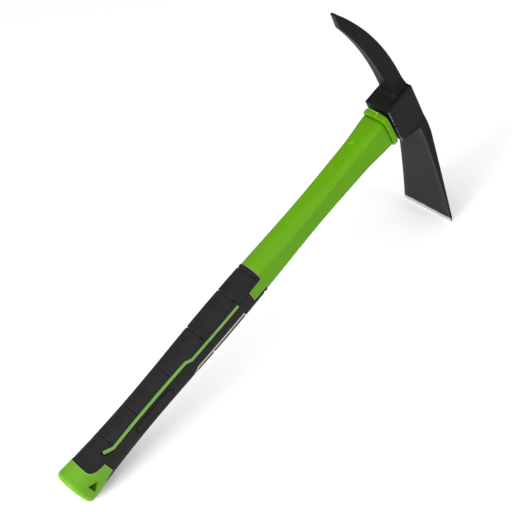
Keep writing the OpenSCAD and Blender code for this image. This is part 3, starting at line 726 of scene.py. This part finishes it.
def slab_ring(under, back, half_w, r, z, per_edge=5, per_top=16, per_side=8):
    r = min(r, MOST_ROUND * (back - under), MOST_ROUND * half_w)
    ring = []
    for q in range(4):
        corner_x = back - r if q < 2 else under + r
        corner_y = half_w - r if q in (0, 3) else r - half_w
        for i in range(per_edge):
            turn = math.pi / 2 * (q + i / (per_edge - 1))
            ring.append((corner_x + r * math.sin(turn), corner_y + r * math.cos(turn), z))
        next_x = back - r if (q + 1) % 4 < 2 else under + r
        next_y = half_w - r if (q + 1) % 4 in (0, 3) else r - half_w
        turn = math.pi / 2 * (q + 1)
        end = (next_x + r * math.sin(turn), next_y + r * math.cos(turn), z)
        count = per_top if q % 2 == 0 else per_side
        last = ring[-1]
        for i in range(1, count):
            share = i / count
            ring.append((last[0] + (end[0] - last[0]) * share,
                         last[1] + (end[1] - last[1]) * share, z))
    return np.array(ring)


# Sections of the pick and of the hoe at t, a share that runs from root to tip
def pick_ring(t):
    back = EYE_HIGH - EYE_RIM / 2 - PICK_DROP * t ** PICK_BOW
    heel = EYE_HIGH - PICK_H - PICK_UNDER
    tip = EYE_HIGH - PICK_DROP - PICK_TIP_T
    under = (EYE_HIGH - PICK_H - PICK_UNDER * (t / PICK_BEVEL) ** PICK_BOW if t < PICK_BEVEL
             else heel + (tip - heel) * (t - PICK_BEVEL) / (1 - PICK_BEVEL))
    flare = PICK_FILLET * (1 - min(1, t / PICK_FILLET_SHARE)) ** 2
    half = (PICK_W + (PICK_TIP_W - PICK_W) * t) / 2 + flare
    back = max(back, under + PICK_TIP_T)
    fillet = float(round_corner(np.array(t * PICK_RUN), PICK_UNDER_R))
    blunt = float(round_corner(np.array((1 - t) * PICK_RUN), PICK_END_R))
    return slab_ring(under - fillet + blunt, back - blunt, half - blunt,
                     min(PICK_R, (back - under) * PICK_R_PART), PICK_ROOT + PICK_RUN * t)


def hoe_half(t):
    return (EYE_W + (HOE_W - EYE_W) * t ** HOE_WIDENING) / 2


def hoe_ring(t):
    slope = HOE_DROP / (1 - HOE_BEND / 2)
    drop = slope * t * t / (2 * HOE_BEND) if t < HOE_BEND else slope * (t - HOE_BEND / 2)
    bevel = max(0, t - HOE_GROUND) / (1 - HOE_GROUND)
    thick = (HOE_TIP_T + (HOE_T - HOE_TIP_T) * (1 - t / HOE_GROUND) ** HOE_THINNING
             if t <= HOE_GROUND else HOE_TIP_T + (HOE_EDGE_T - HOE_TIP_T) * bevel)
    drop += HOE_BACK_SHARE * (HOE_TIP_T - HOE_EDGE_T) * bevel
    rim = EYE_RIM + (HOE_R - EYE_RIM) * min(1, t / HOE_R_SHARE)
    under, web_low = EYE_HIGH - drop - thick, EYE_LOW + EYE_RIM
    web = web_low + (EYE_HIGH - HOE_T - web_low) * t * HOE_RUN / HOE_WEB
    blend = max(HOE_BLEND - abs(under - web), 0) / HOE_BLEND
    return slab_ring(min(under, web) - blend ** 2 * HOE_BLEND_OUT, EYE_HIGH - drop, hoe_half(t), rim,
                     -HOE_ROOT - HOE_RUN * t)


def eye_ring(z):
    from_pick, from_hoe = PICK_ROOT - z, z + HOE_ROOT
    half = EYE_W / 2 - round_corner(np.array(from_pick), EYE_R)
    rim_in = max(float(round_corner(np.array(from_pick), EYE_RIM)),
                 float(round_corner(np.array(from_hoe), EYE_RIM)))
    top_in = float(round_corner(np.array(from_pick), EYE_RIM))
    return slab_ring(EYE_LOW + rim_in, EYE_HIGH - top_in, float(half), EYE_RIM, z)


tip_rounding = 1 - np.sin(np.linspace(0, np.pi / 2, 6))
pick_shares = np.unique(np.concatenate([np.linspace(0, PICK_FILLET_SHARE, 14),
                                        np.linspace(PICK_FILLET_SHARE, PICK_BEVEL, 50),
                                        np.linspace(PICK_BEVEL, PICK_END_SHARE, 8),
                                        1 - PICK_END_R / PICK_RUN * tip_rounding]).round(5))
hoe_shares = np.unique(np.concatenate([np.linspace(0, HOE_WEB + HOE_WEB_PAST, 24) / HOE_RUN,
                                       np.linspace(*HOE_CLOSE_SHARES, 20),
                                       np.linspace(HOE_CLOSE_SHARES[1], HOE_GROUND, 40),
                                       np.linspace(HOE_GROUND, 1, 5)]).round(5))
rounding = np.sin(np.linspace(0, np.pi / 2, 9))
eye_z = np.concatenate([PICK_ROOT - EYE_R * (1 - rounding[::-1]),
                        np.linspace(PICK_ROOT - EYE_R - EYE_MARGIN, EYE_MARGIN - HOE_ROOT, 14),
                        -HOE_ROOT + EYE_RIM * (1 - rounding)])
head_rings = [pick_ring(t) for t in pick_shares[::-1]]
head_rings += [eye_ring(z) for z in eye_z]
head_rings += [hoe_ring(t) for t in hoe_shares]


# A ring like the bore: two half circles with straight sides between them
def oval_ring(x, half_w, half_d, per_end=24):
    reach = half_d - half_w
    ring = []
    for end in (1, -1):
        for turn in np.linspace(0, np.pi, per_end):
            ring.append((x, half_w * math.cos(turn) * end, end * (reach + half_w * math.sin(turn))))
    return np.array(ring)[::-1]


def oval_post(stations):
    return capped_tube([oval_ring(x, BORE_W / 2 + grow, BORE_D / 2 + grow)
                        for x, grow in stations])


# Black lacquer on forged steel: semi-gloss over a slightly uneven skin. Ground steel: bright, with the
# lacquer chipped along its border. The attribute bare_steel says where the lacquer is gone, and a
# second attribute where grey is mixed into the black as painted light.
lacquered_steel, tree = new_finish("lacquered_forged_steel")
place = add(tree, "ShaderNodeTexCoord").outputs["Object"]
gone = add(tree, "ShaderNodeAttribute", attribute_name="bare_steel").outputs["Fac"]
chips = add(tree, "ShaderNodeTexNoise", {"Vector": place, "Scale": per_metre(2.2),
                                         "Detail": 4}).outputs["Fac"]
ragged = add(tree, "ShaderNodeMath", {0: gone, 1: chips}, operation="ADD").outputs[0]
bare = add(tree, "ShaderNodeMapRange", {"Value": ragged, "From Min": 0.85, "From Max": 1.45})
bare = bare.outputs["Result"]
forged = add(tree, "ShaderNodeTexNoise", {"Vector": place, "Scale": per_metre(9),
                                          "Detail": 3}).outputs["Fac"]
peel = add(tree, "ShaderNodeTexNoise", {"Vector": place, "Scale": per_metre(1.1),
                                        "Detail": 2}).outputs["Fac"]
black = add(tree, "ShaderNodeValToRGB", {"Fac": forged})
black.color_ramp.elements[0].color = linear("#0D0D0D")
black.color_ramp.elements[1].color = linear("#141414")
# Painted light: grey mixed into the black on faces toward the butt
lit_share = add(tree, "ShaderNodeAttribute", attribute_name="painted_light").outputs["Fac"]
lacquer = add(tree, "ShaderNodeMix", {"Factor": lit_share, "A": black.outputs["Color"],
                                      "B": linear("#333333")}, data_type="RGBA")
colour = add(tree, "ShaderNodeMix", {"Factor": bare, "A": lacquer.outputs["Result"],
                                     "B": linear("#CACAC8")}, data_type="RGBA")
shine = add(tree, "ShaderNodeMapRange", {"Value": peel, "To Min": 0.36, "To Max": 0.5})
rough = add(tree, "ShaderNodeMix", {"Factor": bare, "A": shine.outputs["Result"], "B": 0.3})
waves = add(tree, "ShaderNodeBump", {"Height": forged, "Strength": 0.25, "Distance": 0.0008})
skin_bump = add(tree, "ShaderNodeBump", {"Height": peel, "Strength": 0.1, "Distance": 0.0002,
                                         "Normal": waves.outputs["Normal"]})
steel = add(tree, "ShaderNodeBsdfPrincipled", {
    "Base Color": colour.outputs["Result"], "Metallic": bare, "Specular IOR Level": 0.07,
    "Roughness": rough.outputs["Result"], "Normal": skin_bump.outputs["Normal"]})
add(tree, "ShaderNodeOutputMaterial", {"Surface": steel.outputs["BSDF"]})

head = new_piece("forged_head", *capped_tube(head_rings), lacquered_steel)
cut_away(head, new_piece("bore_cutter", *oval_post((
    (EYE_LOW - BORE_PAST, BORE_PAST + BORE_EASE), (EYE_LOW + BORE_EASE, 0),
    (EYE_HIGH - BORE_EASE, 0), (EYE_HIGH + BORE_PAST, BORE_PAST + BORE_EASE))), lacquered_steel))
soften(head, 32)

# Where the lacquer is gone: the ground bevel up to its line, the eye's lower rim on the near cheek,
# and a chip at that rim's end. FADE is the distance over which each ends.
GROUND_FADE_IN, GROUND_FADE_OUT, SIDE_SKIN = 0.3, 0.4, 0.02
EYE_RIM_WEAR, EYE_RIM_FADE = 0.57, (0.34, 0.76)
EYE_RIM_PICK_END, EYE_RIM_HOE_END = 1.0, 0.5
CHIP_WEAR, CHIP_FADE, CHIP_UP, CHIP_IN = 0.58, (0.4, 2.2), 0.8, 0.6
x, y, z = from_bench([v.co for v in head.data.vertices]).T
hoe_way = part_way(-z, HOE_ROOT, HOE_REACH)
from_side = hoe_half(hoe_way) - np.abs(y)
worn = fall(HOE_REACH + z, HOE_BEVEL - GROUND_FADE_IN, HOE_BEVEL + GROUND_FADE_OUT)
worn = np.where(from_side < SIDE_SKIN, 0, worn)
rim = np.hypot(np.clip(x - EYE_LOW, 0, None), np.clip(EYE_W / 2 + y, 0, None))
on_eye = (z < PICK_ROOT - EYE_RIM_PICK_END) & (z > -HOE_ROOT - EYE_RIM_HOE_END)
worn = np.maximum(worn, np.where(on_eye, EYE_RIM_WEAR * fall(rim, *EYE_RIM_FADE), 0))
chip = np.hypot(np.hypot(x - EYE_LOW - CHIP_UP, y + EYE_W / 2), z + HOE_ROOT - CHIP_IN)
worn = np.maximum(worn, CHIP_WEAR * fall(chip, *CHIP_FADE))

# Painted light: the black is painted grey on faces that look toward the butt, where the side light
# stands: the hoe's inner face, more so along its sides, and the bevel of the pick's tip. Both are
# picked out by how far the surface faces the butt.
HOE_PAINTED_LIGHT, SIDE_PAINTED_LIGHT, SIDE_FADE, HOE_FACING = 0.28, 0.5, (0.6, 5.0), (0.6, 0.9)
TIP_PAINTED_LIGHT, TIP_FACING, TIP_MARGIN = 0.5, (0.3, 0.6), 0.1
facing = np.array([v.normal for v in head.data.vertices])
to_butt = -facing[:, 0] * math.cos(LEAN) - facing[:, 2] * math.sin(LEAN)
on_hoe = (HOE_PAINTED_LIGHT + SIDE_PAINTED_LIGHT * fall(from_side, *SIDE_FADE)) * part_way(to_butt, *HOE_FACING)
on_tip = TIP_PAINTED_LIGHT * part_way(to_butt, *TIP_FACING)
painted_light = np.where(hoe_way > 0, on_hoe, 0)
painted_light = np.where(z > PICK_ROOT + PICK_RUN * PICK_BEVEL - TIP_MARGIN, on_tip, painted_light)
for name, values in (("bare_steel", worn), ("painted_light", painted_light)):
    head.data.attributes.new(name, "FLOAT", "POINT").data.foreach_set(
        "value", values.astype(np.float32))
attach(head, "root")
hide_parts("head")

# Eye resin: two-part epoxy cast into the eye round the tenon. It sets with a hollow meniscus a
# little below the eye's top, and is what holds head and handle together.

# Sizes in mm: how far the resin's surface lies below the eye's top, how high and how wide it creeps
# up the wall, the steps inward from the wall, and how far the tenon's bed is cut past the eye
RESIN_DOWN, RESIN_CREEP, RESIN_CREEP_IN = 0.6, 0.45, 0.6
RESIN_STEPS, TENON_BED_PAST = (0.15, 0.4, 0.8, 1.4, 2.4, 4.0, 6.0), 1.0
RESIN_HIGH = EYE_HIGH - RESIN_DOWN
resin_rings = [oval_ring(EYE_LOW, BORE_W / 2 - PLAY, BORE_D / 2 - PLAY)]
resin_rings.append(oval_ring(RESIN_HIGH + RESIN_CREEP, BORE_W / 2 - PLAY, BORE_D / 2 - PLAY))
for inward in RESIN_STEPS:
    sag = RESIN_CREEP * math.exp(-inward / RESIN_CREEP_IN)
    resin_rings.append(oval_ring(RESIN_HIGH + sag, BORE_W / 2 - PLAY - inward,
                                 BORE_D / 2 - PLAY - inward))

# Cast epoxy: amber and glossy, a little clouded.
epoxy, tree = new_finish("cast_epoxy")
place = add(tree, "ShaderNodeTexCoord").outputs["Object"]
cloud = add(tree, "ShaderNodeTexNoise", {"Vector": place, "Scale": per_metre(5),
                                         "Detail": 4}).outputs["Fac"]
amber = add(tree, "ShaderNodeValToRGB", {"Fac": cloud})
amber.color_ramp.elements[0].color = linear("#A8904F")
amber.color_ramp.elements[1].color = linear("#C9B57A")
ripple = add(tree, "ShaderNodeBump", {"Height": cloud, "Strength": 0.15, "Distance": 0.0005})
resin_gloss = add(tree, "ShaderNodeBsdfPrincipled", {
    "Base Color": amber.outputs["Color"], "Roughness": 0.22, "IOR": 1.55,
    "Normal": ripple.outputs["Normal"]})
add(tree, "ShaderNodeOutputMaterial", {"Surface": resin_gloss.outputs["BSDF"]})

resin = new_piece("eye_resin_cast", *capped_tube(resin_rings), epoxy)
tenon_bed = [handle_ring(x, TENON_W / 2 + PLAY, TENON_D / 2 + PLAY, TENON_SQUARE)
             for x in (EYE_LOW - TENON_BED_PAST, TENON_X + PLAY)]
cut_away(resin, new_piece("tenon_cutter", *capped_tube(tenon_bed), epoxy))
soften(resin, 50)
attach(resin, "root")
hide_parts("eye_resin")

# Studio: a plain pale floor, a large soft light above, a low one beyond the butt, a weak one in
# front, and the camera at the photograph's angle, looking down on the cheek and the pick side.

FLOOR_HALF = 6.0
floor_mesh = bpy.data.meshes.new("studio_floor")
floor_mesh.from_pydata([(-FLOOR_HALF, -FLOOR_HALF, 0), (FLOOR_HALF, -FLOOR_HALF, 0),
                        (FLOOR_HALF, FLOOR_HALF, 0), (-FLOOR_HALF, FLOOR_HALF, 0)],
                       [], [(0, 1, 2, 3)])
floor_paper, tree = new_finish("white_paper")
paper = add(tree, "ShaderNodeBsdfPrincipled", {
    "Base Color": linear("#F4F4F4"), "Roughness": 0.9, "Specular IOR Level": 0.1})
add(tree, "ShaderNodeOutputMaterial", {"Surface": paper.outputs["BSDF"]})
floor_mesh.materials.append(floor_paper)
floor = bpy.data.objects.new("studio_floor", floor_mesh)
bpy.context.scene.collection.objects.link(floor)
floor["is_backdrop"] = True


def soft_light(name, size, power, place, aim=(0, 0, 0.1)):
    lamp = bpy.data.lights.new(name, "AREA")
    lamp.shape, lamp.size, lamp.energy = "SQUARE", size, power
    light = bpy.data.objects.new(name, lamp)
    bpy.context.scene.collection.objects.link(light)
    light.location = place
    light.rotation_euler = (light.location - Vector(aim)).to_track_quat("Z", "Y").to_euler()


soft_light("overhead_softbox", 3.6, 42, (-0.7, -0.2, 2.4))
soft_light("side_softbox", 0.6, 20, (-1.2, -0.1, 0.3))
soft_light("front_softbox", 0.8, 9, (0.2, -1.3, 0.8))
world = bpy.data.worlds.new("studio_air")
world.use_nodes = True
world.node_tree.nodes["Background"].inputs["Color"].default_value = linear("#FFFFFF")
world.node_tree.nodes["Background"].inputs["Strength"].default_value = 0.55
bpy.context.scene.world = world
bpy.context.scene.view_settings.view_transform = "Standard"

lens = bpy.data.cameras.new("photo_camera")
lens.sensor_width, lens.lens = 36.0, 76.89
lens.clip_start, lens.clip_end = 0.01, 50.0
camera = bpy.data.objects.new("photo_camera", lens)
bpy.context.scene.collection.objects.link(camera)
stand = Matrix.Translation((-0.31742, -0.51251, 0.67989))
right = (0.72267, -0.66761, -0.17902)
upward = (0.57099, 0.43066, 0.69893)
back = (-0.38952, -0.60731, 0.69242)
camera.matrix_world = stand @ Matrix((right, upward, back)).transposed().to_4x4()
bpy.context.scene.camera = camera

low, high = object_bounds()
